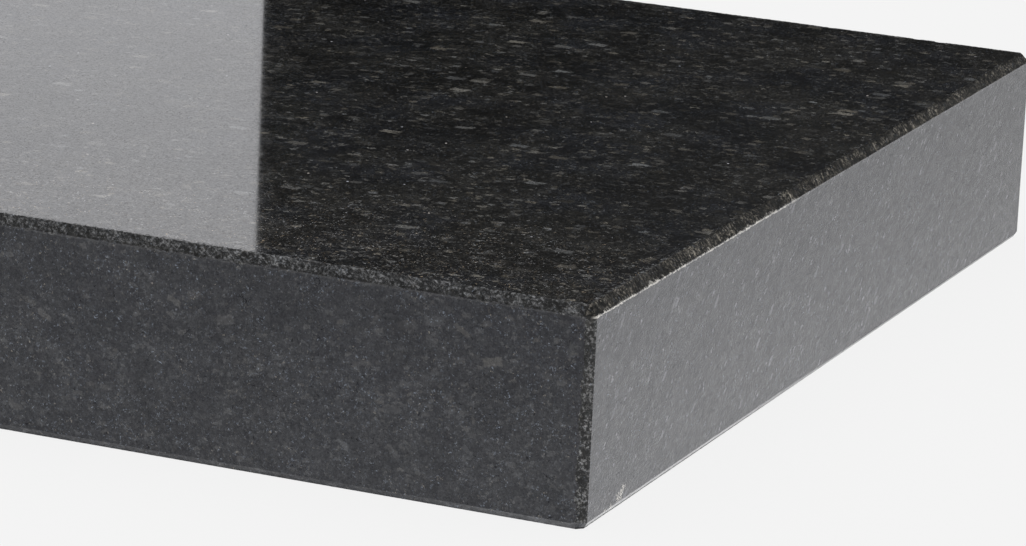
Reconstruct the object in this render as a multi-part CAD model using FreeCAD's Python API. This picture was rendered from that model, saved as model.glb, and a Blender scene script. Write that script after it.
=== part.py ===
import FreeCAD, Part
import math
import os

# A granite slab for leatherwork: one block of stone, sawn square, polished on top,
# with every arris ground off. Millimetres. The origin is the centre of the face
# that rests on the bench, +Z is up, and -Y is the front.

slab_side = 304.8  # 12 in square
slab_height = 50.8  # 2 in thick
top_chamfer = 2.2  # ground bevel round the polished work surface
corner_chamfer = 1.9  # ground bevel down each upright corner
base_rise = 1.5  # lighter bevel that keeps the resting edge from flaking: its height
base_inset = 0.9  # and how far in it runs under the stone

PARTS = "parts"


def centred_square(side, corner, height):
    """A closed square outline with bevelled corners, centred on Z at a height."""
    half = side / 2
    inner = half - corner
    points = []
    for x_sign, y_sign in ((1, 1), (-1, 1), (-1, -1), (1, -1)):
        along_y = FreeCAD.Vector(x_sign * half, y_sign * inner, height)
        along_x = FreeCAD.Vector(x_sign * inner, y_sign * half, height)
        points += [along_y, along_x] if x_sign == y_sign else [along_x, along_y]
    points.append(points[0])
    return Part.makePolygon(points)


def edges_at_height(solid, height):
    """The edges that lie wholly in the level plane at a height."""
    found = []
    for edge in solid.Edges:
        box = edge.BoundBox
        if max(abs(box.ZMin - height), abs(box.ZMax - height)) < 1e-6:
            found.append(edge)
    return found


def foot(outline):
    """The bottom of the stone, tapering from its full outline to the smaller resting face."""
    corner = corner_chamfer - base_inset * (2 - math.sqrt(2))  # every side comes in equally
    resting = centred_square(slab_side - 2 * base_inset, corner, 0)
    return Part.makeLoft([resting, outline], True, True)


def granite_slab():
    """The stone: an upright prism on a tapered foot, bevelled round its top."""
    outline = centred_square(slab_side, corner_chamfer, base_rise)
    body = Part.Face(outline).extrude(FreeCAD.Vector(0, 0, slab_height - base_rise))
    stone = body.fuse(foot(outline)).removeSplitter()
    return stone.makeChamfer(top_chamfer, edges_at_height(stone, slab_height))


os.makedirs(PARTS, exist_ok=True)
stone = granite_slab()
assert stone.isValid() and len(stone.Solids) == 1
stone.exportStep(os.path.join(PARTS, "granite_slab.step"))
print("granite_slab", round(stone.Volume / 1000, 1), "cm3, faces", len(stone.Faces))
print("ok")
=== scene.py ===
import math

import bmesh
import bpy
import numpy as np
from mathutils import Matrix, Vector, noise


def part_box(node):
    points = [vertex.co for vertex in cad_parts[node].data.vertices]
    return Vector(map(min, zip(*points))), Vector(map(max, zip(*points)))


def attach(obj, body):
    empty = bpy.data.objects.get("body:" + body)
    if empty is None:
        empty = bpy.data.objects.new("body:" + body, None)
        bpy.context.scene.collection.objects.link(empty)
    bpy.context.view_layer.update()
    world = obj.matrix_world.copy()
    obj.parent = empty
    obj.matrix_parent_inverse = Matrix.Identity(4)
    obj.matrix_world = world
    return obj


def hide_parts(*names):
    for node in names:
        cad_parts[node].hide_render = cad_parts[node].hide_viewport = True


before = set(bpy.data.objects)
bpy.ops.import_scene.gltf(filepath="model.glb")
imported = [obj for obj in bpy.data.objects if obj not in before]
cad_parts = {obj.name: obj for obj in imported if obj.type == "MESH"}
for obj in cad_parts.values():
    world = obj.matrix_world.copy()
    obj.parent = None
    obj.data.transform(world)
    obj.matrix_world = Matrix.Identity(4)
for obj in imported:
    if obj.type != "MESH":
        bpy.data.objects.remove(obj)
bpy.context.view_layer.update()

# A square block of dark granite: polished on top, honed on its sides, ground along
# every arris. The block's lengths are metres, and its materials reckon in millimetres.

MM = 0.001
_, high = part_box("granite_slab")
HALF = high.x
TOP = high.z

TOP_BEVEL = 2.2 * MM
CORNER_BEVEL = 1.9 * MM
BASE_RISE = 1.5 * MM
BASE_INSET = 0.9 * MM
MITRE = math.tan(math.radians(22.5))  # how far an octagon's corner moves per unit of inset
ROOT2 = math.sqrt(2)

HALF_MM = HALF / MM
RIM_MM = TOP_BEVEL / MM
RIM_FOOT_MM = (TOP - TOP_BEVEL) / MM  # height of the arris under the rim bevel
POLISH_REACH_MM = (HALF - TOP_BEVEL) / MM

POLISHED, HONED, GROUND, BASE_GROUND, SAWN = range(5)


# ---------------------------------------------------------------- the stone's mesh

SIDE_CELLS = 768  # fine cells along a long arris, halved ring by ring towards a face's middle
RISE_CELLS = 128  # fine cells up an upright arris
CORNER_CELLS = 7
TOP_BEVEL_CELLS = 8
BASE_BEVEL_CELLS = 4
FIRST_RING = 1.6 * MM
RINGS = (2.6 * MM, 4.4 * MM, 7.6 * MM, 12.8 * MM)


class Patchwork:
    """Patches of points and faces, each with a finish, welded into one closed mesh at the end."""

    def __init__(self):
        self.points = []
        self.faces = []
        self.finishes = []
        self.count = 0

    def add_points(self, points):
        points = np.asarray(points, float)
        first = self.count
        self.points.append(points)
        self.count += len(points)
        return np.arange(first, self.count)

    def add_faces(self, faces, finish):
        self.faces.extend(faces.tolist())
        self.finishes.extend([finish] * len(faces))

    def strip(self, outer, inner, finish):
        """Quads between two rows of equally many points."""
        a = self.add_points(outer)
        b = self.add_points(inner)
        self.add_faces(np.stack([a[:-1], a[1:], b[1:], b[:-1]], 1), finish)

    def halving_strip(self, fine, coarse, finish):
        """Triangles between a row of points and a row with half as many cells."""
        a = self.add_points(fine)
        b = self.add_points(coarse)
        left, middle, right = a[:-1:2], a[1::2], a[2::2]
        self.add_faces(np.stack([left, middle, b[:-1]], 1), finish)
        self.add_faces(np.stack([middle, b[1:], b[:-1]], 1), finish)
        self.add_faces(np.stack([middle, right, b[1:]], 1), finish)

    def fan(self, row, apex, finish):
        a = self.add_points(row)
        tip = np.full(len(a) - 1, self.add_points([apex])[0])
        self.add_faces(np.stack([a[:-1], a[1:], tip], 1), finish)

    def sheet(self, corners, across, up, finish):
        """A grid of quads between four corner points, given round the patch."""
        c = np.asarray(corners, float)
        u = np.linspace(0, 1, across + 1)[None, :, None]
        v = np.linspace(0, 1, up + 1)[:, None, None]
        grid = (1 - v) * ((1 - u) * c[0] + u * c[1]) + v * ((1 - u) * c[3] + u * c[2])
        index = self.add_points(grid.reshape(-1, 3)).reshape(up + 1, across + 1)
        quads = np.stack([index[:-1, :-1], index[:-1, 1:], index[1:, 1:], index[1:, :-1]], -1)
        self.add_faces(quads.reshape(-1, 4), finish)


def between(start, end, cells):
    share = np.linspace(0, 1, cells + 1)[:, None]
    return (1 - share) * np.asarray(start, float) + share * np.asarray(end, float)


def ring_sides(place, box, inset, cells):
    """The four sides of a rectangle inset into a face, each as a row of points."""
    x0, y0, x1, y1 = box[0] + inset, box[1] + inset, box[2] - inset, box[3] - inset
    corners = [place(x0, y0), place(x1, y0), place(x1, y1), place(x0, y1)]
    return [between(corners[i], corners[(i + 1) % 4], cells[i % 2]) for i in range(4)]


def graded_face(work, place, box, outer, cells, finish):
    """A flat face, fine where it meets its ring of outer rows and coarse in the middle."""
    rows = ring_sides(place, box, FIRST_RING, cells)
    for i in range(4):
        work.strip(outer[i], rows[i], finish)
    for inset in RINGS:
        cells = (cells[0] // 2, cells[1] // 2)
        inner = ring_sides(place, box, inset, cells)
        for i in range(4):
            work.halving_strip(rows[i], inner[i], finish)
        rows = inner
    corners = [row[0] for row in rows]
    work.sheet(corners, cells[0], cells[1], finish)


def outline(inset, height):
    """The eight corners of the bevelled square at an inset, anticlockwise from the +X side."""
    reach = HALF - inset
    inner = HALF - CORNER_BEVEL - MITRE * inset
    quarter = [(reach, -inner), (reach, inner)]
    points = []
    for turn in range(4):
        c, s = round(math.cos(turn * math.pi / 2)), round(math.sin(turn * math.pi / 2))
        points += [(c * x - s * y, s * x + c * y, height) for x, y in quarter]
    return points


def level_face(work, inset, height, finish):
    """The top or the base: an octagon outside, a square grid inside."""

    def place(a, b):
        return (a, b, height)

    edge = outline(inset, height)
    corners = edge[6:] + edge[:6]
    outer = [between(corners[2 * i], corners[2 * i + 1], SIDE_CELLS) for i in range(4)]
    reach = HALF - inset
    box = (-reach, -reach, reach, reach)
    inner = ring_sides(place, box, FIRST_RING, (SIDE_CELLS, SIDE_CELLS))
    for i in range(4):
        short = between(corners[2 * i + 1], corners[(2 * i + 2) % 8], CORNER_CELLS)
        work.fan(short, inner[i][-1], finish)
    graded_face(work, place, box, outer, (SIDE_CELLS, SIDE_CELLS), finish)


def side_wall(work, wall):
    """A flat side between its bevels, given as four corners."""
    start, along = Vector(wall[0]), Vector(wall[1]) - Vector(wall[0])
    length = along.length
    step = along / length

    def place(a, b):
        return start + step * a + Vector((0, 0, b))

    cells = (SIDE_CELLS, RISE_CELLS)
    outer = [between(wall[i], wall[(i + 1) % 4], cells[i % 2]) for i in range(4)]
    box = (0, 0, length, TOP - TOP_BEVEL - BASE_RISE)
    graded_face(work, place, box, outer, cells, HONED)


def bevelled_sides(work):
    """The four sides and the four upright corners, each with a bevel above and below."""
    rings = [
        outline(BASE_INSET, 0),
        outline(0, BASE_RISE),
        outline(0, TOP - TOP_BEVEL),
        outline(TOP_BEVEL, TOP),
    ]
    for i in range(8):
        j = (i + 1) % 8
        foot, wall, shoulder = (
            [under[i], under[j], over[j], over[i]] for under, over in zip(rings, rings[1:])
        )
        is_corner = i % 2 == 1
        across = CORNER_CELLS if is_corner else SIDE_CELLS
        work.sheet(shoulder, across, TOP_BEVEL_CELLS, GROUND)
        work.sheet(foot, across, BASE_BEVEL_CELLS, BASE_GROUND)
        if is_corner:
            work.sheet(wall, across, RISE_CELLS, GROUND)
        else:
            side_wall(work, wall)


def block_mesh():
    """The bevelled block with no wear yet, welded into one closed mesh."""
    work = Patchwork()
    level_face(work, TOP_BEVEL, TOP, POLISHED)
    level_face(work, BASE_INSET, 0, SAWN)
    bevelled_sides(work)
    mesh = bpy.data.meshes.new("granite_slab_stone")
    mesh.from_pydata(np.concatenate(work.points).tolist(), [], work.faces)
    mesh.polygons.foreach_set("material_index", work.finishes)
    bm = bmesh.new()
    bm.from_mesh(mesh)
    bmesh.ops.remove_doubles(bm, verts=bm.verts, dist=0.001 * MM)
    bmesh.ops.recalc_face_normals(bm, faces=bm.faces)
    bm.to_mesh(mesh)
    bm.free()
    return mesh


# ---------------------------------------------------------------- wear on the arrises

FADE = 1.55 * MM  # how far onto a flat face an arris may wander
CORNER_FADE = 4 * MM  # how far along a rim its corner's mitre is felt
LEAST_WIDTH = 0.1 * MM
HAIR = 1e-7  # metres: what is nearer than this lies in the surface
WEAR_SEED = 4
RIM_CHIPS = 46  # flakes along each side's rim
FOOT_CHIPS = 14
CORNER_CHIPS = 26


def fade(distance, length):
    share = np.clip(1 - distance / length, 0, 1)
    return share * share * (3 - 2 * share)


def corner_position(p):
    """Where a point lies round its corner: -1 at the X side's arris, 1 at the Y side's.

    Also how far inside the outline it lies, and half the width of the corner's bevel there."""
    ax, ay = np.abs(p[:, 0]), np.abs(p[:, 1])
    corner_inset = (2 * HALF - CORNER_BEVEL - ax - ay) / ROOT2
    inset = np.minimum(np.minimum(HALF - ax, HALF - ay), corner_inset)
    half_width = np.maximum(CORNER_BEVEL - (1 - MITRE) * inset, LEAST_WIDTH)
    return (ay - ax) / half_width, np.maximum(inset, 0), half_width


def rim_slide(p, depth, drop, run):
    """How a point moves when a rim bevel, drop by run, is cut one unit deeper. Depth is from the rim."""
    w, inset, half_width = corner_position(p)
    beyond = np.maximum(np.abs(w) - 1, 0) * half_width
    lean = MITRE * fade(beyond, CORNER_FADE)
    share = np.clip((w + 1) / 2, 0, 1)
    on_x = w < -1
    on_y = w > 1
    nx = np.where(on_x, 1, np.where(on_y, lean, 1 - share * (1 - MITRE)))
    ny = np.where(on_y, 1, np.where(on_x, lean, MITRE + share * (1 - MITRE)))
    t = np.clip(depth / drop, 0, 1)
    inward = np.where(depth < HAIR, fade(inset - run, FADE), 1 - t) * ROOT2
    inward = np.where(inset < HAIR, 0, inward)
    down = np.where(depth > drop, fade(depth - drop, FADE), t) * ROOT2
    x_way, y_way = np.sign(p[:, 0]), np.sign(p[:, 1])
    return np.stack([-nx * inward * x_way, -ny * inward * y_way, -down], 1)


def upright_slide(p):
    """How a point moves when an upright corner's bevel is cut one unit deeper."""
    w, inset, half_width = corner_position(p)
    beyond = np.maximum(np.abs(w) - 1, 0) * half_width
    side = ROOT2 * fade(beyond, FADE)
    share = np.clip((w + 1) / 2, 0, 1)
    sx = np.where(w < -1, 0, np.where(w > 1, side, ROOT2 * share))
    sy = np.where(w > 1, 0, np.where(w < -1, side, ROOT2 * (1 - share)))
    reach = np.minimum((TOP - p[:, 2]) / TOP_BEVEL, p[:, 2] / BASE_RISE)
    reach = np.clip(reach, 0, 1)
    near = (inset < HAIR) | (reach < 1)
    weight = np.where(near, reach, 0)
    x_way, y_way = np.sign(p[:, 0]), np.sign(p[:, 1])
    return np.stack([-sx * weight * x_way, -sy * weight * y_way, 0 * sx], 1)


def grain(points, cell):
    """Broken-crystal relief: each cell is a flat facet with its own level and tilt, from about -1 to 1."""
    out = np.empty(len(points))
    for i, p in enumerate(points):
        q = Vector(p) / cell
        nearest = noise.voronoi(q)[1][0]
        tilt = noise.cell_vector(nearest * 7.3) - Vector((0.5, 0.5, 0.5))
        level = noise.cell(nearest * 5.1) * 2 - 1
        out[i] = 0.6 * level + 1.6 * (q - nearest).dot(tilt)
    return out


def smooth_noise(points, cell, seed):
    shift = Vector((seed * 11.7, seed * 5.3, seed * 7.9))
    return np.array([noise.noise(Vector(p) / cell + shift) for p in points])


def chip_field(points, chips):
    """Depth of the flakes broken off at a set of centres."""
    depth = np.zeros(len(points))
    for centre, radius, deep in chips:
        near = np.where(np.abs(points - centre).max(1) < radius)[0]
        if len(near) == 0:
            continue
        share = np.clip(1 - ((points[near] - centre) ** 2).sum(1) / radius**2, 0, 1)
        depth[near] = np.maximum(depth[near], deep * share**0.7)
    return depth


def make_chips(random):
    """Flakes along the rims and corners: a centre on an arris, a radius and a depth."""
    chips = []
    for side in range(4):
        turn = Matrix.Rotation(side * math.pi / 2, 3, "Z")
        for _ in range(RIM_CHIPS):
            along = random.uniform(-HALF, HALF)
            upper = random.rand() < 0.45
            edge = (HALF - TOP_BEVEL, along, TOP) if upper else (HALF, along, TOP - TOP_BEVEL)
            size = 0.5 + 1.3 * random.rand() ** 3
            chips.append((turn @ Vector(edge), size * MM, 0.26 * size * MM))
        for _ in range(FOOT_CHIPS):
            edge = (HALF, random.uniform(-HALF, HALF), BASE_RISE)
            size = 0.4 + 0.8 * random.rand() ** 2
            chips.append((turn @ Vector(edge), size * MM, 0.2 * size * MM))
    for sx in (-1, 1):
        for sy in (-1, 1):
            for _ in range(CORNER_CHIPS):
                z = TOP * (1 - random.rand() ** 0.7)
                size = 0.6 + 1.2 * random.rand() ** 2
                edge = Vector((sx * (HALF - CORNER_BEVEL), sy * HALF, z))
                chips.append((edge, size * MM, 0.3 * size * MM))
    return chips


def cuts(p):
    """How deep, in mm, wear cuts the rim's bevel, an upright corner's and the foot's at each point."""
    rough = 0.075 * grain(p, 0.9 * MM) + 0.05 * smooth_noise(p, 0.45 * MM, 1)
    rough += 0.07 * smooth_noise(p, 3.1 * MM, 2)
    wave = 0.08 * smooth_noise(p, 17 * MM, 3)
    chips = chip_field(p, make_chips(np.random.RandomState(WEAR_SEED))) / MM
    w, _, _ = corner_position(p)
    on_the_right = (w < 0) & (p[:, 0] > 0)
    low_arris = np.clip((TOP - p[:, 2]) / TOP_BEVEL, 0, 1)
    calm = 1 - 0.8 * low_arris
    kept = 1 - 0.95 * on_the_right * low_arris
    to_y_side = np.clip(0.15 + 0.85 * (w + 1) / 2, 0.15, 1)
    rim = (rough + wave) * calm + chips * kept
    upright = (rough + wave + chips) * to_y_side
    foot = 0.25 * rough + 0.5 * chips
    return rim, upright, foot


def weather(mesh):
    """Wears the bevels and breaks the arrises. Points on a flat face stay in its plane."""
    co = np.empty(len(mesh.vertices) * 3)
    mesh.vertices.foreach_get("co", co)
    co = co.reshape(-1, 3)
    rim = rim_slide(co, TOP - co[:, 2], TOP_BEVEL, TOP_BEVEL)
    foot = rim_slide(co, co[:, 2], BASE_RISE, BASE_INSET) * (1, 1, -1)
    upright = upright_slide(co)
    slides = (rim, upright, foot)
    touched = np.where(sum(np.abs(slide).max(1) for slide in slides) > 1e-6)[0]
    move = sum(slide[touched] * cut[:, None] for slide, cut in zip(slides, cuts(co[touched])))
    co[touched] += move * MM
    co = np.clip(co, (-HALF, -HALF, 0), (HALF, HALF, TOP))
    mesh.vertices.foreach_set("co", co.ravel())
    mesh.update()


# ---------------------------------------------------------------- materials


class Nodes:
    """Short calls for building a node tree."""

    def __init__(self, tree):
        self.tree = tree

    def new(self, kind, **settings):
        node = self.tree.nodes.new("ShaderNode" + kind)
        for key, value in settings.items():
            setattr(node, key, value)
        return node

    def feed(self, socket, value):
        if isinstance(value, bpy.types.NodeSocket):
            self.tree.links.new(value, socket)
        else:
            socket.default_value = value

    def math(self, operation, *values, clamp=False):
        node = self.new("Math", operation=operation, use_clamp=clamp)
        for socket, value in zip(node.inputs, values):
            self.feed(socket, value)
        return node.outputs[0]

    def vector(self, operation, *values):
        node = self.new("VectorMath", operation=operation)
        for socket, value in zip(node.inputs, values):
            self.feed(socket, value)
        return node.outputs[0]

    def step(self, value, start, end, low=0.0, high=1.0):
        """A smooth rise from low to high while value goes from start to end."""
        node = self.new("MapRange", interpolation_type="SMOOTHSTEP")
        names = ("Value", "From Min", "From Max", "To Min", "To Max")
        for name, item in zip(names, (value, start, end, low, high)):
            self.feed(node.inputs[name], item)
        return node.outputs[0]

    def mix(self, share, a, b, blend="MIX"):
        node = self.new("Mix", data_type="RGBA", blend_type=blend)
        self.feed(node.inputs[0], share)
        self.feed(node.inputs[6], a)
        self.feed(node.inputs[7], b)
        return node.outputs[2]

    def scale(self, value, factor):
        node = self.new("VectorMath", operation="SCALE")
        self.feed(node.inputs[0], value)
        node.inputs["Scale"].default_value = factor
        return node.outputs[0]

    def split(self, color):
        node = self.new("SeparateColor")
        self.feed(node.inputs[0], color)
        return node.outputs

    def apart(self, vector):
        node = self.new("SeparateXYZ")
        self.feed(node.inputs[0], vector)
        return node.outputs

    def together(self, *values):
        node = self.new("CombineXYZ")
        for socket, value in zip(node.inputs, values):
            self.feed(socket, value)
        return node.outputs[0]

    def grey(self, value):
        node = self.new("CombineColor")
        for socket in node.inputs:
            self.feed(socket, value)
        return node.outputs[0]

    def noise(self, place, scale, detail=2.0, roughness=0.5, distortion=0.0):
        node = self.new("TexNoise")
        self.feed(node.inputs["Vector"], place)
        node.inputs["Scale"].default_value = scale
        node.inputs["Detail"].default_value = detail
        node.inputs["Roughness"].default_value = roughness
        node.inputs["Distortion"].default_value = distortion
        return node

    def cells(self, place, scale, randomness=1.0, feature="F1"):
        node = self.new("TexVoronoi", feature=feature)
        self.feed(node.inputs["Vector"], place)
        node.inputs["Scale"].default_value = scale
        node.inputs["Randomness"].default_value = randomness
        return node


def in_millimetres(n):
    return n.scale(n.new("TexCoord").outputs["Object"], 1 / MM)


def use(n, group):
    node = n.new("Group")
    node.node_tree = group
    return node


def bump(n, height, distance):
    node = n.new("Bump")
    node.inputs["Distance"].default_value = distance
    n.feed(node.inputs["Height"], height)
    return node.outputs[0]


def product(n, first, *others):
    for other in others:
        first = n.math("MULTIPLY", first, other)
    return first


def on_x_sides(n, mm):
    """1 on the two sides that face along X, 0 elsewhere."""
    x, _, _ = n.apart(n.vector("ABSOLUTE", mm))
    return n.step(x, HALF_MM - 0.3, HALF_MM - 0.1)


def on_right_rim(n, x):
    """1 on the right-hand side and on the bevels above and below it."""
    return n.step(x, HALF_MM - 2.5, HALF_MM - 2.2)


GRAIN_SLANT = 0.9  # mm along the side for each mm of height
GRAIN_SQUEEZE = 0.7  # how much flatter the grains lie there


def along_the_grain(n):
    """Millimetres, slanted on the sides that face along X, where the saw crossed the grain."""
    mm = in_millimetres(n)
    x, y, z = n.apart(mm)
    side = on_x_sides(n, mm)
    slant = n.math("MULTIPLY", side, -GRAIN_SLANT)
    squeeze = n.math("MULTIPLY_ADD", side, GRAIN_SQUEEZE, 1.0)
    return n.together(x, n.math("MULTIPLY_ADD", z, slant, y), n.math("MULTIPLY", z, squeeze))


def warped(n, mm, amount, scale, detail, roughness):
    """Places pushed about by noise, by up to half the amount in mm."""
    push = n.noise(mm, scale, detail, roughness).outputs["Color"]
    push = n.vector("SUBTRACT", push, (0.5, 0.5, 0.5))
    return n.vector("ADD", mm, n.scale(push, amount))


def laths(n, place, turn, size, share, seed):
    """Crystals in one orientation: (mask, shade, hue), the last two being each crystal's own numbers."""
    mapping = n.new("Mapping", vector_type="POINT")
    n.feed(mapping.inputs["Vector"], place)
    mapping.inputs["Rotation"].default_value = [math.radians(a) for a in turn]
    mapping.inputs["Location"].default_value = (seed * 17.3, seed * 5.9, seed * 11.1)
    scaled = n.vector("MULTIPLY", mapping.outputs[0], [1 / side for side in size])
    crystal = n.cells(scaled, 1.0)
    crystal.distance = "CHEBYCHEV"
    split = n.split(crystal.outputs["Color"])
    chosen = n.math("GREATER_THAN", split[0], 1 - share)
    body = n.step(crystal.outputs["Distance"], 0.42, 0.3)
    return n.math("MULTIPLY", chosen, body), split[1], split[2]


# ---------------------------------------------------------------- the minerals

# Each row is a family of crystals: orientation, size in mm, how many, how pale its palest is,
# and how evenly it is spread (0 keeps it to the crowded places, 1 puts it everywhere).
CRYSTALS = (
    ((4, 6, 9), (3.4, 2.8, 1.7), 0.12, 0.14, 0.0),
    ((20, 10, -14), (2.6, 2.4, 1.4), 0.13, 0.14, 0.0),
    ((-35, 20, 32), (2.1, 1.8, 1.0), 0.14, 0.16, 0.1),
    ((70, -12, 155), (1.6, 1.2, 0.8), 0.14, 0.13, 0.1),
    ((5, 70, -60), (1.3, 1.0, 0.6), 0.14, 0.15, 0.1),
    ((15, 10, 5), (6.4, 3.8, 2.8), 0.07, 0.19, 0.6),
    ((40, -20, -22), (5.0, 2.0, 1.9), 0.05, 0.17, 0.7),
)
CRYSTAL_ALBEDO = 0.86  # what turns a family's paleness into an albedo
DARKEST_CRYSTAL = 0.014
CRYSTAL_WOBBLE = 1.9  # mm by which crystal outlines are pushed about
OLIVE = (1.1, 1.0, 0.82, 1)
SILVER = (0.96, 1.0, 1.03, 1)
PYROXENE = (0.0015, 0.0016, 0.002, 1)
BLUE_GREY = (0.028, 0.030, 0.035, 1)
BROWN_GREY = (0.033, 0.032, 0.029, 1)
COLD_GLINT = (0.55, 0.6, 0.72, 1)
WARM_GLINT = (0.7, 0.62, 0.55, 1)
GLINT_SHARE = 0.0025
COLD_SPECK = (0.84, 0.97, 1.18, 1)
WARM_SPECK = (1.12, 1.0, 0.82, 1)
SPECK_SHARE = 0.55


def crowding(n, mm, cloud, patch):
    """How densely the crystals are spread: in clouds and patches, and more of them near the front."""
    density = n.math("ADD", n.math("MULTIPLY", cloud, 0.9), n.math("MULTIPLY", patch, 0.9))
    density = n.step(density, 0.72, 1.0, 0.3, 1.0)
    _, y, _ = n.apart(mm)
    frontal = n.step(y, 45 - HALF_MM, 95 - HALF_MM, 1.25, 0.85)
    return n.math("MULTIPLY", density, frontal, clamp=True)


def dark_matrix(n, cloud, patch, fine):
    """The dark minerals between the crystals."""
    tinge = n.step(n.split(cloud.outputs["Color"])[1], 0.36, 0.56)
    matrix = n.mix(n.step(fine, 0.36, 0.72), PYROXENE, n.mix(tinge, BLUE_GREY, BROWN_GREY))
    depth = n.step(patch, 0.32, 0.68, 0.5, 1.35)
    depth = n.math("MULTIPLY", depth, n.step(cloud.outputs[0], 0.36, 0.62, 0.55, 1.35))
    return n.mix(1.0, matrix, n.grey(depth), "MULTIPLY")


def with_crystals(n, body, bent, fine, density):
    """Every family of crystals over the body: (the body, how strongly a crystal shows there)."""
    crystals = 0.0
    for seed, (turn, size, share, palest, spread) in enumerate(CRYSTALS):
        mask, shade, hue = laths(n, bent, turn, size, share, seed + 1)
        steep = n.math("POWER", shade, 1.8)
        tone = n.math("MULTIPLY_ADD", steep, palest * CRYSTAL_ALBEDO, DARKEST_CRYSTAL)
        tone = n.math("MULTIPLY", tone, n.step(fine, 0.3, 0.62, 0.45, 1.25))
        tint = n.mix(1.0, n.mix(hue, SILVER, OLIVE), n.grey(tone), "MULTIPLY")
        crowd = n.math("MULTIPLY_ADD", density, 1 - spread, spread)
        mask = n.math("MULTIPLY", mask, crowd)
        body = n.mix(mask, body, tint)
        crystals = n.math("MAXIMUM", crystals, n.math("MULTIPLY", mask, shade))
    return body, crystals


def with_glints(n, body, mm):
    """Single grains that flash."""
    glint = n.cells(mm, 0.8)
    number = n.split(glint.outputs["Color"])
    chosen = n.math("GREATER_THAN", number[0], 1 - GLINT_SHARE)
    chosen = n.math("MULTIPLY", chosen, n.step(glint.outputs["Distance"], 0.3, 0.16))
    return n.mix(chosen, body, n.mix(number[1], COLD_GLINT, WARM_GLINT))


def fine_specks(n, mm, bent):
    """Fine pale specks, gathered in knots and clusters."""
    cluster = n.step(n.noise(mm, 0.16, 2.0, 0.6).outputs[0], 0.38, 0.58, 0.35, 1.0)
    knot = n.step(n.noise(bent, 0.75, 2.0, 0.6).outputs[0], 0.42, 0.6, 0.3, 1.4)
    speck = n.cells(bent, 2.2)
    number = n.split(speck.outputs["Color"])
    chosen = n.math("GREATER_THAN", number[0], 1 - SPECK_SHARE)
    spot = n.step(speck.outputs["Distance"], 0.55, 0.25)
    strength = product(n, chosen, spot, product(n, cluster, knot))
    bright = n.math("MULTIPLY_ADD", n.math("POWER", number[1], 3.0), 0.16, 0.032)
    hue = n.mix(n.step(number[2], 0.7, 0.9), COLD_SPECK, WARM_SPECK)
    return n.mix(1.0, hue, n.grey(n.math("MULTIPLY", bright, strength)), "MULTIPLY")


def node_group(name, colors, numbers):
    """An empty node group with colours and numbers to give: (group, node helper, its output node)."""
    group = bpy.data.node_groups.new(name, "ShaderNodeTree")
    for title in colors:
        group.interface.new_socket(title, in_out="OUTPUT", socket_type="NodeSocketColor")
    for title in numbers:
        group.interface.new_socket(title, in_out="OUTPUT", socket_type="NodeSocketFloat")
    return group, Nodes(group), group.nodes.new("NodeGroupOutput")


def mineral_group():
    """The granite itself: dark pyroxene and biotite, grey and olive feldspar, fine flecks, rare glints."""
    group, n, out = node_group("granite_minerals", ("Body", "Specks"), ("Crystal", "Patch", "Grain"))
    mm = along_the_grain(n)
    bent = warped(n, mm, CRYSTAL_WOBBLE, 0.8, 3.0, 0.7)
    cloud = n.noise(mm, 0.045, 2.0)
    patch = n.noise(mm, 0.2, 3.0, 0.6).outputs[0]
    fine = n.noise(mm, 2.1, 3.0, 0.75).outputs[0]
    density = crowding(n, mm, cloud.outputs[0], patch)
    body = dark_matrix(n, cloud, patch, fine)
    body, crystals = with_crystals(n, body, bent, fine, density)
    n.feed(out.inputs["Body"], with_glints(n, body, mm))
    n.feed(out.inputs["Specks"], fine_specks(n, mm, bent))
    n.feed(out.inputs["Crystal"], crystals)
    n.feed(out.inputs["Patch"], patch)
    n.feed(out.inputs["Grain"], fine)
    return group


def stone_material(name, groups):
    """A material with the minerals in place: (material, node helper, shader, minerals)."""
    material = bpy.data.materials.new(name)
    material.use_nodes = True
    tree = material.node_tree
    shader = tree.nodes["Principled BSDF"]
    shader.inputs["IOR"].default_value = 1.52
    n = Nodes(tree)
    return material, n, shader, use(n, groups["minerals"])


# ---------------------------------------------------------------- ground stone

# The colours of ground stone on the front rim, on the right-hand rim and up the corners. The pale colour
# of each pair is the painted highlight of a broken crystal, and the three pairs differ as painted light on
# each face.
FRONT_HIGHLIGHT = (0.34, 0.343, 0.353, 1)
FRONT_DARK = (0.01, 0.01, 0.01, 1)
RIGHT_HIGHLIGHT = (0.55, 0.505, 0.425, 1)
RIGHT_DARK = (0.001, 0.001, 0.001, 1)
UPRIGHT_HIGHLIGHT = (0.54, 0.54, 0.54, 1)
UPRIGHT_DARK = (0.03, 0.03, 0.03, 1)


def slanting_scores(n, mm, right, upright):
    """The marks of the grinding wheel, which slant up the bevels."""
    x, y, z = n.apart(mm)
    along = n.math("MULTIPLY_ADD", z, 0.8, n.math("MULTIPLY_ADD", x, 1.5, y))
    right_rim = n.math("MULTIPLY", right, n.math("SUBTRACT", 1.0, upright))
    across = n.math("MULTIPLY", z, n.math("MULTIPLY_ADD", right_rim, -1.0, 1.45))
    scored = n.together(along, across, n.math("MULTIPLY", y, 0.3))
    return n.noise(scored, 0.6, 5.0, 0.85).outputs[0]


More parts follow.
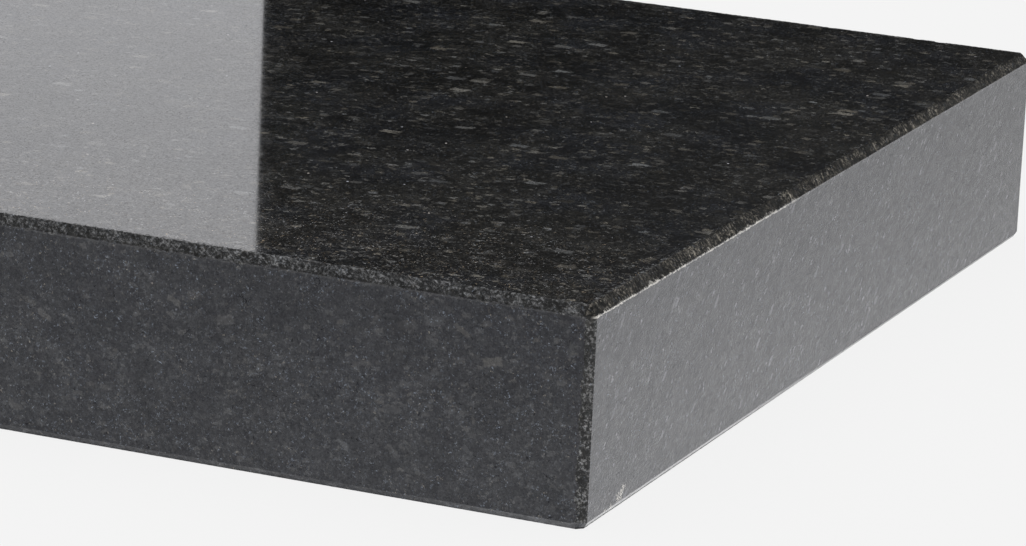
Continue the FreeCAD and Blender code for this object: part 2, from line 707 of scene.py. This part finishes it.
def broken_light(n, mm, scores, hue, right, upright):
    """How much a broken crystal catches the light: by the scores, in curls, in sparks and in stretches."""
    spark = n.split(n.cells(mm, 2.2).outputs["Color"])
    bright = n.math("POWER", n.step(scores, 0.42, 0.7), n.math("MULTIPLY_ADD", right, 1.4, 1.6))
    lucky = n.math("MULTIPLY_ADD", n.math("POWER", hue[0], 2.0), 1.7, 0.25)
    bright = n.math("MULTIPLY", bright, lucky)
    curl = n.math("SUBTRACT", n.noise(mm, 0.85, 1.0, 0.5, 1.0).outputs[0], 0.5)
    curl = n.step(n.math("ABSOLUTE", curl), 0.035, 0.01)
    curl = n.math("MULTIPLY", curl, n.step(hue[1], 0.35, 0.75))
    bright = n.math("MULTIPLY_ADD", curl, 0.45, bright)
    bright = n.math("MULTIPLY_ADD", n.math("GREATER_THAN", spark[0], 0.88), 0.35, bright)
    stretch = n.step(n.noise(mm, 0.14, 2.0, 0.6).outputs[0], 0.36, 0.64)
    stretch = n.math("MAXIMUM", stretch, n.math("MULTIPLY", upright, 0.55))
    swing = n.math("MULTIPLY_ADD", right, 0.5, 0.5)
    least = n.math("MULTIPLY_ADD", right, -0.4, 0.75)
    return n.math("MULTIPLY", bright, n.math("MULTIPLY_ADD", stretch, swing, least))


def broken_group(minerals):
    """Ground stone: dark, with slanting scores and broken crystals whose catching of the light is painted
    into the colour as highlights.
    """
    group, n, out = node_group("granite_broken", ("Color",), ("Relief",))
    stone = use(n, minerals)
    mm = in_millimetres(n)
    x, _, z = n.apart(mm)
    upright = n.step(z, RIM_FOOT_MM - 0.5, RIM_FOOT_MM, 1.0, 0.0)
    right = on_right_rim(n, x)
    scores = slanting_scores(n, mm, right, upright)
    hue = n.split(n.cells(mm, 1.2).outputs["Color"])
    bright = broken_light(n, mm, scores, hue, right, upright)
    # Painted light: each face has its own highlight colour and dark colour, and the right-hand rim's
    # highlight is paler and warmer.
    pale = n.mix(upright, n.mix(right, FRONT_HIGHLIGHT, RIGHT_HIGHLIGHT), UPRIGHT_HIGHLIGHT)
    dark = n.mix(upright, n.mix(right, FRONT_DARK, RIGHT_DARK), UPRIGHT_DARK)
    broken = n.mix(0.75, stone.outputs["Body"], n.mix(bright, dark, pale))
    n.feed(out.inputs["Color"], n.mix(0.8, broken, stone.outputs["Specks"], "ADD"))
    rough = n.noise(mm, 1.1, 5.0, 0.8).outputs[0]
    height = n.math("ADD", n.math("MULTIPLY", rough, 0.6), n.math("MULTIPLY", hue[1], 0.25))
    n.feed(out.inputs["Relief"], n.math("MULTIPLY_ADD", scores, 0.7, height))
    return group


def rim_painted_shade(n, mm):
    """How much of the right-hand rim bevel's upper part is painted dark as shade, in mm, away from the
    near corner.
    """
    x, y, _ = n.apart(mm)
    right = n.step(x, HALF_MM - 5.0, HALF_MM - 4.5)
    ragged = n.step(n.noise(mm, 0.8, 3.0, 0.8).outputs[0], 0.35, 0.65, -0.15, 0.15)
    swell = n.noise(n.together(0.0, y, 0.0), 0.045, 2.0).outputs[0]
    away = n.step(y, 40 - HALF_MM, 100 - HALF_MM)
    shade_reach = n.math("ADD", n.step(swell, 0.4, 0.62, 0.2, 0.6), ragged)
    return product(n, right, away, shade_reach)


# ---------------------------------------------------------------- the polished top

NEAR_SPECK_LIGHT = (2.4, 2.1, 1.75, 1)  # painted light: how much brighter the fine specks are painted in the polish near the front
FAR_SPECK_LIGHT = (0.6, 0.6, 0.6, 1)


def rim_scuff(n, mm, patch):
    """Where the polish has been scraped off beside the rim bevel: ragged, up to some 2 mm wide."""
    x, y, _ = n.apart(n.vector("ABSOLUTE", mm))
    inward = n.math("SUBTRACT", POLISH_REACH_MM, n.math("MAXIMUM", x, y))
    ragged = n.noise(mm, 0.9, 5.0, 0.8).outputs[0]
    width = n.step(ragged, 0.36, 0.72, -0.5, 2.6)
    width = n.math("MULTIPLY", width, n.step(patch, 0.3, 0.65, 0.4, 1.0))
    # Narrower where painted shade darkens the top of the right-hand rim bevel.
    width = n.math("MULTIPLY_ADD", n.math("MAXIMUM", rim_painted_shade(n, mm), 0.0), -3.0, width)
    return n.step(n.math("SUBTRACT", inward, width), 0.2, -0.2)


def polished_granite(groups):
    """The lapped work surface: a mirror with the crystals deep and dark under it, scuffed at its rim."""
    material, n, shader, group = stone_material("granite_polished", groups)
    mm = in_millimetres(n)
    _, y, _ = n.apart(mm)
    # Painted light: the specks are painted brighter near the front and dimmer farther back.
    speck_light = n.mix(n.step(y, 25 - HALF_MM, 75 - HALF_MM), NEAR_SPECK_LIGHT, FAR_SPECK_LIGHT)
    specks = n.mix(1.0, group.outputs["Specks"], speck_light, "MULTIPLY")
    flecks = n.mix(1.0, group.outputs["Body"], specks, "ADD")
    scuff = rim_scuff(n, mm, group.outputs["Patch"])
    ground = use(n, groups["broken"])
    n.feed(shader.inputs["Base Color"], n.mix(scuff, flecks, ground.outputs["Color"]))
    pits = n.step(n.noise(mm, 2.4, 2.0, 0.6).outputs[0], 0.6, 0.66)
    pits = n.math("MULTIPLY", pits, n.step(group.outputs["Patch"], 0.4, 0.6, 0.2, 1.0))
    rough = n.step(n.noise(mm, 0.3, 3.0).outputs[0], 0.3, 0.8, 0.03, 0.05)
    rough = n.math("MULTIPLY_ADD", pits, 0.1, rough)
    n.feed(shader.inputs["Roughness"], n.math("MULTIPLY_ADD", scuff, 0.4, rough))
    gloss = n.step(n.noise(mm, 1.9, 4.0, 0.85).outputs[0], 0.34, 0.66, 0.08, 0.92)
    gloss = n.math("MULTIPLY_ADD", pits, -0.4, gloss)
    gloss = n.math("MULTIPLY_ADD", scuff, -0.25, gloss, clamp=True)
    n.feed(shader.inputs["Specular IOR Level"], gloss)
    return material


# ---------------------------------------------------------------- the rubbed sides

CUT_FLECKS = (  # lean in degrees, size in mm, how many, the palest
    (0, (2.4, 2.0, 7.8), 0.03, 0.09),
    (0, (2.4, 2.2, 4.6), 0.05, 0.13),
    (-8, (1.8, 1.4, 2.8), 0.10, 0.17),
    (-25, (1.6, 1.0, 2.2), 0.10, 0.20),
)
FLECK_WOBBLE = 1.4  # mm
FLECK_TINT = (0.98, 0.98, 1.08, 1)
RUBBED = (0.0058, 0.0058, 0.0093, 1)  # the dull colour that rubbing spreads over the minerals
# Painted light: a blue cast on the two sides that face along X.
X_SIDE_PAINTED_BLUE = (0.0, 0.0, 0.004, 1)
COOL = (0.955, 0.975, 1.01, 1)  # the tint that the rubbed faces give to what they reflect
CRUSHED_AND_HIGHLIGHT = (0.95, 0.92, 0.86, 1)  # stone beaten to white powder; also the painted highlight along the right-hand rim's lower arris
CRUSHED_LIT_RUN = 124.0  # mm of the right-hand rim's lower arris that is beaten white and painted whiter as a highlight, from the near corner
BRUISES = (  # place in metres from the near right foot of the block, and radius in mm
    ((0, 0.0195, 0.0023), 1.2),
    ((0, 0.0212, 0.0031), 1.2),
    ((0, 0.0224, 0.0042), 1.0),
    ((0, 0.0155, 0.0016), 0.9),
    ((0, 0.0120, 0.0015), 0.6),
)


def cut_flecks(n, mm):
    """Feldspar flecks cut across, on the two sides that face along X: how pale each one is."""
    bent = warped(n, mm, FLECK_WOBBLE, 1.1, 2.0, 0.6)
    total = 0.0
    for seed, (lean, size, share, palest) in enumerate(CUT_FLECKS):
        mask, shade, _ = laths(n, bent, (lean, 0, 0), size, share, seed + 11)
        tone = n.math("MULTIPLY_ADD", n.math("POWER", shade, 2.5), palest, 0.008)
        total = n.math("MAXIMUM", total, n.math("MULTIPLY", mask, tone))
    return n.math("MULTIPLY", total, on_x_sides(n, mm))


def rubbed_stone(n, mm, group):
    """The colour of a rubbed face: dark, with fine specks and cut flecks, and a painted blue light on the
    two sides that face along X.
    """
    rubbed = n.mix(0.8, group.outputs["Body"], RUBBED)
    rubbed = n.mix(0.78, rubbed, group.outputs["Specks"], "ADD")
    rubbed = n.mix(on_x_sides(n, mm), rubbed, X_SIDE_PAINTED_BLUE, "ADD")
    return n.mix(cut_flecks(n, mm), rubbed, FLECK_TINT, "ADD")


def satin(n, mm, group, dull, sharp):
    """The gloss of a rubbed face, from dull to sharp, uneven from grain to grain."""
    gloss = n.step(group.outputs["Patch"], 0.3, 0.7, dull, sharp)
    polish = n.step(group.outputs["Crystal"], 0.22, 0.55)
    gloss = n.math("MULTIPLY_ADD", polish, 0.1, gloss)
    by_grain = n.step(group.outputs["Grain"], 0.3, 0.7, 0.8, 1.2)
    uneven = n.step(n.noise(mm, 1.0, 2.0, 0.6).outputs[0], 0.33, 0.7, 0.86, 1.22)
    return product(n, gloss, by_grain, uneven)


def table_light(n, mm):
    """How much more a side shows near the table, most of all on the front towards the corner."""
    x, _, z = n.apart(mm)
    nearness = n.step(z, 46.0, 6.0, -1.0, 1.0)
    swing = n.step(x, 10.0, 145.0, 0.025, 0.14)
    swing = n.math("MULTIPLY_ADD", on_x_sides(n, mm), -0.12, swing)
    return n.math("MULTIPLY_ADD", nearness, swing, 1.0)


def bruises(n, mm):
    """Small white marks where the foot of the right-hand side has been knocked."""
    ragged = n.step(n.noise(mm, 1.3, 3.0, 0.8).outputs[0], 0.35, 0.65, 0.6, 1.9)
    total = 0.0
    for place, radius in BRUISES:
        gap = n.new("VectorMath", operation="DISTANCE")
        n.feed(gap.inputs[0], mm)
        gap.inputs[1].default_value = (Vector(place) + Vector((HALF, -HALF, 0))) / MM
        reach = n.math("MULTIPLY", gap.outputs["Value"], ragged)
        total = n.math("MAXIMUM", total, n.step(reach, radius, radius * 0.7))
    crumbs = n.noise(along_the_grain(n), 1.8, 3.0, 0.85).outputs[0]
    return n.math("MULTIPLY", total, n.step(crumbs, 0.43, 0.58, 0.05, 0.85))


def crushed_lit_arris(n, mm):
    """Just below the rim bevel: white and ragged near the corner on the right, faint elsewhere. Crushed
    stone, painted whiter near the corner as a highlight.
    """
    x, y, z = n.apart(mm)
    above = n.math("SUBTRACT", z, RIM_FOOT_MM)
    ragged = n.noise(mm, 0.45, 5.0, 0.85).outputs[0]
    upper = n.step(ragged, 0.42, 0.68, -0.25, 0.7)
    lower = n.step(n.noise(mm, 0.8, 4.0, 0.8).outputs[0], 0.34, 0.62, -0.2, -0.56)
    line = n.step(n.math("SUBTRACT", above, upper), 0.08, -0.08)
    line = n.math("MULTIPLY", line, n.step(n.math("SUBTRACT", above, lower), -0.08, 0.08))
    run = n.math("ADD", y, HALF_MM)
    ragged_run = n.math("MULTIPLY_ADD", ragged, 16.0, run)
    near = n.step(ragged_run, CRUSHED_LIT_RUN + 16, CRUSHED_LIT_RUN, 0.06, 1.0)
    past_corner = n.step(run, 0.8, 1.8)
    broken_up = n.step(n.noise(mm, 0.6, 4.0, 0.85).outputs[0], 0.38, 0.58, 0.25, 1.0)
    strength = product(n, near, on_right_rim(n, x), past_corner, broken_up)
    return n.math("MULTIPLY", line, n.math("MULTIPLY_ADD", strength, 0.8, 0.025))


def honed_granite(groups):
    """The sides: sawn, then rubbed down to a grey satin in which the harder crystals shine more."""
    material, n, shader, group = stone_material("granite_honed", groups)
    mm = in_millimetres(n)
    grained = along_the_grain(n)
    # White bruises, and the crushed arris painted whiter as a highlight near the right-hand corner.
    crushed_and_lit = n.math("MAXIMUM", bruises(n, mm), crushed_lit_arris(n, mm))
    n.feed(shader.inputs["Base Color"], n.mix(crushed_and_lit, rubbed_stone(n, grained, group), CRUSHED_AND_HIGHLIGHT))
    shader.inputs["IOR"].default_value = 1.48
    shader.inputs["Specular Tint"].default_value = COOL
    pits = n.step(n.noise(grained, 0.55, 3.0, 0.7, 1.2).outputs[0], 0.655, 0.69)
    gloss = n.math("MULTIPLY", satin(n, grained, group, 0.35, 0.44), table_light(n, mm))
    gloss = n.math("MULTIPLY", gloss, n.math("MULTIPLY_ADD", pits, -0.6, 1.0))
    n.feed(shader.inputs["Specular IOR Level"], gloss)
    haze = n.step(n.noise(grained, 0.3, 5.0, 0.7).outputs[0], 0.3, 0.7, 0.12, 0.26)
    n.feed(shader.inputs["Roughness"], n.math("MULTIPLY_ADD", crushed_and_lit, 0.5, haze))
    ripple = n.noise(grained, 0.8, 3.0, 0.65).outputs[0]
    relief = n.noise(grained, 1.6, 2.0, 0.6).outputs[0]
    relief = n.math("MULTIPLY_ADD", relief, 1.1, ripple)
    height = n.math("SUBTRACT", relief, n.math("MULTIPLY", pits, 0.6))
    n.feed(shader.inputs["Normal"], bump(n, height, 0.05 * MM))
    return material


# ---------------------------------------------------------------- bevels and underside


def ground_granite(groups):
    """The rim's bevels and the upright corners', coarsely ground."""
    material, n, shader, _ = stone_material("granite_ground", groups)
    mm = in_millimetres(n)
    ground = use(n, groups["broken"])
    # The crushed arris, painted whiter as a highlight near the right-hand corner.
    crushed_lit = crushed_lit_arris(n, mm)
    _, _, z = n.apart(mm)
    up = n.math("SUBTRACT", z, RIM_FOOT_MM)
    # Painted light and shade on the bevel's colour: darker low on the bevel, a painted highlight along its
    # upper arris, and painted shade over the top of the right-hand rim bevel away from the near corner.
    width = n.math("SUBTRACT", RIM_MM, rim_painted_shade(n, mm))
    edge = n.step(n.math("SUBTRACT", up, width), 0.0, 0.1, 1.0, 0.3)
    shade = product(n, n.step(up, 0.2, 0.55, 0.6, 1.0), n.step(up, 1.8, 2.1, 1.0, 1.3), edge)
    shade = n.math("MAXIMUM", shade, n.step(up, -0.1, 0.1, 1.0, 0.0))
    color = n.mix(1.0, ground.outputs["Color"], n.grey(shade), "MULTIPLY")
    n.feed(shader.inputs["Base Color"], n.mix(crushed_lit, color, CRUSHED_AND_HIGHLIGHT))
    shader.inputs["Roughness"].default_value = 0.55
    shader.inputs["Specular IOR Level"].default_value = 0.2
    relief = n.math("MULTIPLY", ground.outputs["Relief"], n.math("SUBTRACT", 1.0, crushed_lit))
    n.feed(shader.inputs["Normal"], bump(n, relief, 0.8 * MM))
    return material


def base_ground_granite(groups):
    """The foot bevel: one light pass, so it is smoother and paler than the rim."""
    material, n, shader, group = stone_material("granite_base_bevel", groups)
    mm = in_millimetres(n)
    grained = along_the_grain(n)
    stone = rubbed_stone(n, grained, group)
    n.feed(shader.inputs["Base Color"], n.mix(bruises(n, mm), stone, CRUSHED_AND_HIGHLIGHT))
    shader.inputs["Specular Tint"].default_value = COOL
    x, y, z = n.apart(mm)
    right = on_right_rim(n, x)
    far = n.math("MULTIPLY", right, n.step(y, 70 - HALF_MM, 190 - HALF_MM))
    # Painted shade: a rougher, less glossy dark band along the lowest half millimetre of the foot bevel,
    # strongest on the right-hand side near the corner, stands in for the contact shadow.
    contact_shade_strength = n.math("MAXIMUM", 0.15, n.math("SUBTRACT", right, far))
    contact_shade = n.math("MULTIPLY", n.step(z, 0.55, 0.4), contact_shade_strength)
    dull = n.math("MULTIPLY_ADD", n.math("MULTIPLY", far, n.step(z, 0.5, 1.0)), 0.4, 0.09)
    haze = n.step(n.noise(mm, 1.6, 3.0).outputs[0], 0.3, 0.7, 0.03, 0.09)
    smooth = n.math("ADD", dull, haze)
    n.feed(shader.inputs["Roughness"], n.math("MULTIPLY_ADD", contact_shade, 0.4, smooth))
    near = n.math("MULTIPLY_ADD", n.step(x, HALF_MM - 45, HALF_MM - 12), 1.1, 1.0)
    gloss = n.math("MULTIPLY", satin(n, grained, group, 0.29, 0.41), near)
    gloss = n.math("MULTIPLY_ADD", contact_shade, -0.45, gloss, clamp=True)
    n.feed(shader.inputs["Specular IOR Level"], gloss)
    relief = n.noise(mm, 2.0, 3.0, 0.7).outputs[0]
    n.feed(shader.inputs["Normal"], bump(n, relief, 0.04 * MM))
    return material


SAWN_PALE = (0.1, 0.1, 0.1, 1)


def sawn_granite(groups):
    """The underside, as the saw left it: pale, rough, with faint blade marks."""
    material, n, shader, group = stone_material("granite_sawn", groups)
    mm = in_millimetres(n)
    n.feed(shader.inputs["Base Color"], n.mix(0.55, group.outputs["Body"], SAWN_PALE))
    shader.inputs["Roughness"].default_value = 0.75
    wave = n.new("TexWave", bands_direction="X")
    n.feed(wave.inputs["Vector"], mm)
    wave.inputs["Scale"].default_value = 0.12
    wave.inputs["Distortion"].default_value = 1.5
    rough = n.noise(mm, 1.5, 4.0, 0.7).outputs[0]
    height = n.math("ADD", n.math("MULTIPLY", wave.outputs["Fac"], 0.35), rough)
    n.feed(shader.inputs["Normal"], bump(n, height, 0.12 * MM))
    return material


def granite_slab():
    mesh = block_mesh()
    weather(mesh)
    minerals = mineral_group()
    groups = {"minerals": minerals, "broken": broken_group(minerals)}
    # In the order of POLISHED, HONED, GROUND, BASE_GROUND, SAWN.
    finishes = (polished_granite, honed_granite, ground_granite, base_ground_granite, sawn_granite)
    for finish in finishes:
        mesh.materials.append(finish(groups))
    stone = bpy.data.objects.new("granite_slab_stone", mesh)
    bpy.context.scene.collection.objects.link(stone)
    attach(stone, "root")
    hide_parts("granite_slab")


# ---------------------------------------------------------------- studio

PAGE = 0.888  # radiance of the pale surroundings
DOME_LIGHT = 1.28
GLOOM = (0.0064, 0.0416)  # below the dome: at the horizon, and where the dome begins
SIDE_GLOOM = 0.012
PANEL_LIGHT = 1.03
PANEL_TINT = (0.99, 0.99, 1.02, 1)
PANEL_Y = 1.2
PANEL_EDGE_X = -0.5852
PANEL_WIDTH = 2.4
PANEL_HEIGHT = 1.6
FLOOR_REACH = 60.0
FLOOR_LEVEL = -0.02 * MM
FLOOR_GLOW = 0.855
FLOOR_SHADE = 0.055
CAST_FRONT = 1.3488  # the light that the floor gives the stone, in front of the block
CAST_BACK = 0.9336


def glow_material(name, strength, diffuse=0.0):
    material = bpy.data.materials.new(name)
    material.use_nodes = True
    shader = material.node_tree.nodes["Principled BSDF"]
    shader.inputs["Base Color"].default_value = (diffuse, diffuse, diffuse, 1)
    shader.inputs["Roughness"].default_value = 1.0
    shader.inputs["Specular IOR Level"].default_value = 0.0
    shader.inputs["Emission Color"].default_value = (1, 1, 1, 1)
    shader.inputs["Emission Strength"].default_value = strength
    return material


def by_camera(n, seen, cast):
    """One strength where the camera looks straight at it and another for the light it gives."""
    ray = n.new("LightPath").outputs["Is Camera Ray"]
    other = n.math("SUBTRACT", 1.0, ray)
    return n.math("ADD", n.math("MULTIPLY", ray, seen), n.math("MULTIPLY", other, cast))


def flat_object(name, corners, material):
    mesh = bpy.data.meshes.new(name)
    mesh.from_pydata(corners, [], [tuple(range(len(corners)))])
    mesh.materials.append(material)
    item = bpy.data.objects.new(name, mesh)
    bpy.context.scene.collection.objects.link(item)
    return item


def dark_wedge(n, where):
    """1 on the open floor, less in the narrow shade under the foot bevel of the front and the back."""
    x_reach, y_reach, _ = n.apart(n.vector("ABSOLUTE", where))
    x_gap = n.math("SUBTRACT", x_reach, HALF - BASE_INSET)
    y_gap = n.math("SUBTRACT", y_reach, HALF - BASE_INSET)
    open_side = n.step(x_gap, 0.0, 0.05 * MM)
    wedge = n.math("MAXIMUM", open_side, n.step(y_gap, -0.1 * MM, 1.3 * MM, 0.7, 0.95))
    return n.math("MAXIMUM", wedge, n.step(y_gap, 1.0 * MM, 6 * MM))


def floor():
    """A wide pale table top, partly glowing so that the block's shadow stays soft."""
    ring = ((-1, -1), (1, -1), (1, 1), (-1, 1))
    corners = [(x * FLOOR_REACH, y * FLOOR_REACH, FLOOR_LEVEL) for x, y in ring]
    material = glow_material("pale_floor", FLOOR_GLOW, FLOOR_SHADE)
    shader = material.node_tree.nodes["Principled BSDF"]
    n = Nodes(material.node_tree)
    where = n.new("TexCoord").outputs["Object"]
    _, y, _ = n.apart(where)
    cast = n.step(y, -0.2, 0.35, CAST_FRONT, CAST_BACK)
    cast = n.math("MULTIPLY", cast, dark_wedge(n, where))
    n.feed(shader.inputs["Emission Strength"], by_camera(n, FLOOR_GLOW, cast))
    flat_object("floor", corners, material)


def light_panel():
    """A tall soft light behind the block on the left, seen only in the polish."""
    left, right = PANEL_EDGE_X - PANEL_WIDTH, PANEL_EDGE_X
    ring = ((left, 0), (right, 0), (right, PANEL_HEIGHT), (left, PANEL_HEIGHT))
    corners = [(x, PANEL_Y, z) for x, z in ring]
    material = glow_material("panel_glow", PANEL_LIGHT)
    shader = material.node_tree.nodes["Principled BSDF"]
    shader.inputs["Emission Color"].default_value = PANEL_TINT
    panel = flat_object("light_panel", corners, material)
    panel.visible_camera = False


def studio_world():
    """Soft light from overhead, dark low down, pale where the camera looks straight at it."""
    world = bpy.data.worlds.new("studio")
    bpy.context.scene.world = world
    world.use_nodes = True
    tree = world.node_tree
    tree.nodes.clear()
    n = Nodes(tree)
    x, _, height = n.apart(n.new("TexCoord").outputs["Generated"])

    def rise(start, end, low, high):
        """From low to high between two heights above the horizon, in degrees."""
        return n.step(height, math.sin(math.radians(start)), math.sin(math.radians(end)), low, high)

    gloom = n.math("ADD", rise(11, 17, *GLOOM), n.step(x, -0.385, -0.34, 0.0, SIDE_GLOOM))
    dome = n.math("ADD", gloom, rise(26, 48, 0.0, DOME_LIGHT))
    background = n.new("Background")
    background.inputs["Color"].default_value = (1, 1, 1, 1)
    n.feed(background.inputs["Strength"], by_camera(n, PAGE, dome))
    output = n.new("OutputWorld")
    n.feed(output.inputs["Surface"], background.outputs[0])


CAMERA_TURN = (22.919, 14.9645, 2.5956)  # yaw, downward pitch and roll, in degrees
CAMERA_LENS = 181.787
CAMERA_SENSOR = 36
CAMERA_SEES = (0.05, 300)  # metres, nearest and farthest
CAMERA_FROM_CORNER = Vector((0.4049, -1.0038, 0.2964))  # from the near right corner of the top


def camera():
    data = bpy.data.cameras.new("camera")
    data.lens = CAMERA_LENS
    data.sensor_width = CAMERA_SENSOR
    data.clip_start, data.clip_end = CAMERA_SEES
    item = bpy.data.objects.new("camera", data)
    bpy.context.scene.collection.objects.link(item)
    yaw, pitch, roll = (math.radians(angle) for angle in CAMERA_TURN)
    turn = Matrix.Rotation(yaw, 4, "Z") @ Matrix.Rotation(math.pi / 2 - pitch, 4, "X")
    turn = turn @ Matrix.Rotation(roll, 4, "Z")
    corner = Vector((HALF, -HALF, TOP))
    item.matrix_world = Matrix.Translation(corner + CAMERA_FROM_CORNER) @ turn
    bpy.context.scene.camera = item


scene = bpy.context.scene
scene.view_settings.view_transform = "Standard"
scene.view_settings.look = "None"

granite_slab()
floor()
light_panel()
studio_world()
camera()
